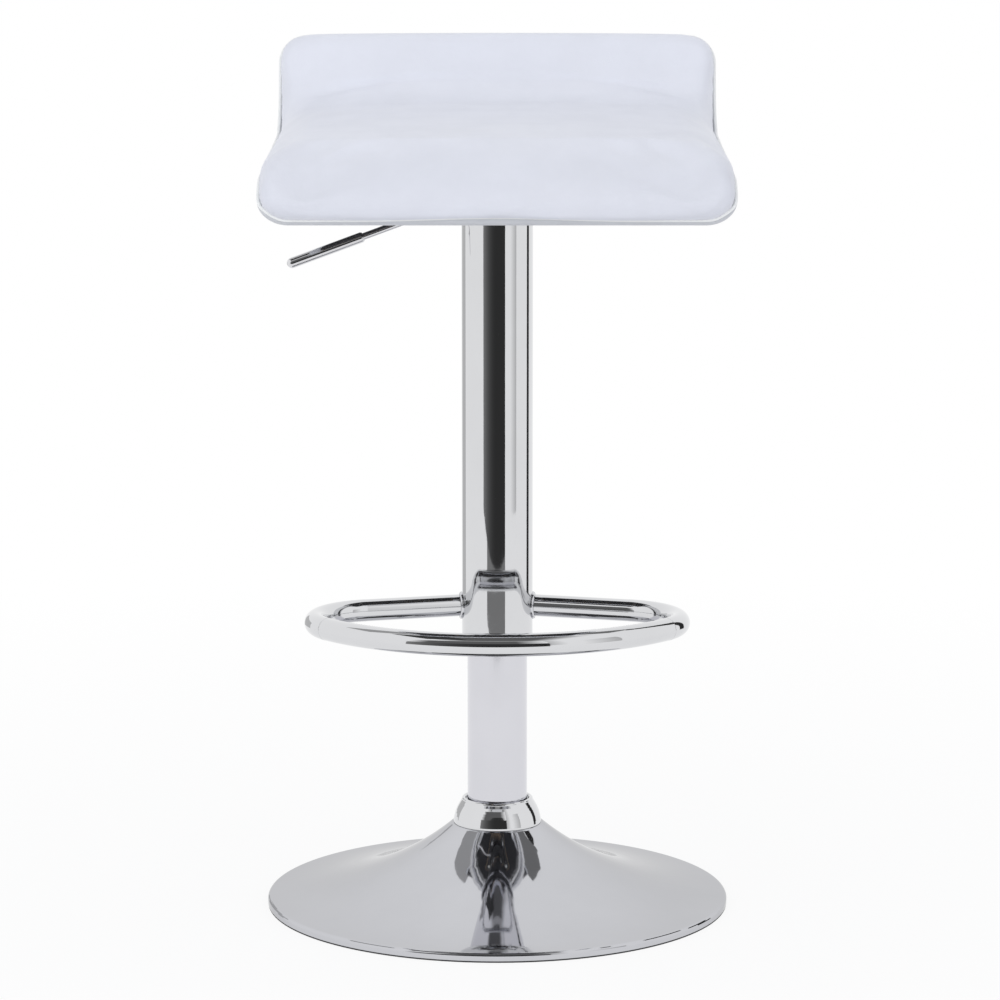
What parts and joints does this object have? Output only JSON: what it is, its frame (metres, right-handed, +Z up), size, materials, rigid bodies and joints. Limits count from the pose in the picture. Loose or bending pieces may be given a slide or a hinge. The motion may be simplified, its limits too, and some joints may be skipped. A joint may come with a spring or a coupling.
{
  "type": "adjustable swivel stool",
  "caption": "Backless swivel stool with a padded wave seat, gas-lift column with a release lever, D-shaped footrest and a round trumpet base.",
  "frame": {"origin": "centre of the base on the floor, on the column's axis", "axes": "+Z up along the column; the seat's front faces -Y and its upturned back is at +Y; the lever is at -X"},
  "size_m": [0.3932, 0.3932, 0.7338],
  "materials": {
    "chrome": "polished",
    "zinc_steel": "satin",
    "black_steel": "satin",
    "rubber": "matte",
    "plastic": "matte",
    "plywood": "raw",
    "white_leather": "satin",
    "foam": "matte",
    "dust_cloth": "matte"
  },
  "bodies": {
    "base": {"base_pan": "chrome", "base_hub": "zinc_steel", "base_brace": "black_steel", "floor_ring": "rubber", "neck_collar": "chrome", "column_tube": "chrome", "column_end_plate": "zinc_steel", "column_guide": "plastic", "bearing_lower_race": "zinc_steel"},
    "piston": {"bearing_balls": "zinc_steel", "ball_cage": "plastic", "bearing_upper_race": "zinc_steel", "rod_clip": "zinc_steel", "bump_stop": "rubber", "piston_rod": "chrome", "piston_head": "zinc_steel", "piston_ring": "plastic"},
    "seat": {"pressure_tube": "black_steel", "rod_seal": "plastic", "valve_body": "zinc_steel", "taper_hub": "zinc_steel", "sleeve_tube": "chrome", "sleeve_bush": "plastic", "footrest_tube": "chrome", "seat_plate": "black_steel", "lever_bracket": "zinc_steel", "lever_pivot_pin": "zinc_steel", "seat_bolts": "zinc_steel", "bolt_washers": "zinc_steel", "tee_nuts": "zinc_steel", "seat_core": "plywood", "seat_edge_band": "white_leather", "underside_cloth": "dust_cloth", "seat_foam": "foam", "seat_cover": "white_leather"},
    "lever": {"lever_rod": "chrome", "lever_grip": "chrome"},
    "release": {"release_pin": "zinc_steel"}
  },
  "joints": [
    {"name": "seat_swivel", "type": "hinge", "parent": "base", "child": "piston", "pos_m": [0, 0, 0.0289], "axis": [0, 0, 1], "continuous": true},
    {"name": "seat_height", "type": "slide", "parent": "piston", "child": "seat", "axis": [0, 0, 1], "range_m": [-0.115, 0.1]},
    {"name": "lever_lift", "type": "hinge", "parent": "seat", "child": "lever", "pos_m": [-0.034, 0, 0.59809], "axis": [0, 1, 0], "range_deg": [0, 5.5], "stiffness_Nm_per_rad": 5, "springref_deg": -6.88},
    {"name": "release_press", "type": "slide", "parent": "seat", "child": "release", "axis": [0, 0, -1], "range_m": [0, 0.004]}
  ],
  "couplings": [
    {"joint": "release_press", "follows": "lever_lift", "m_per_rad": 0.034}
  ]
}
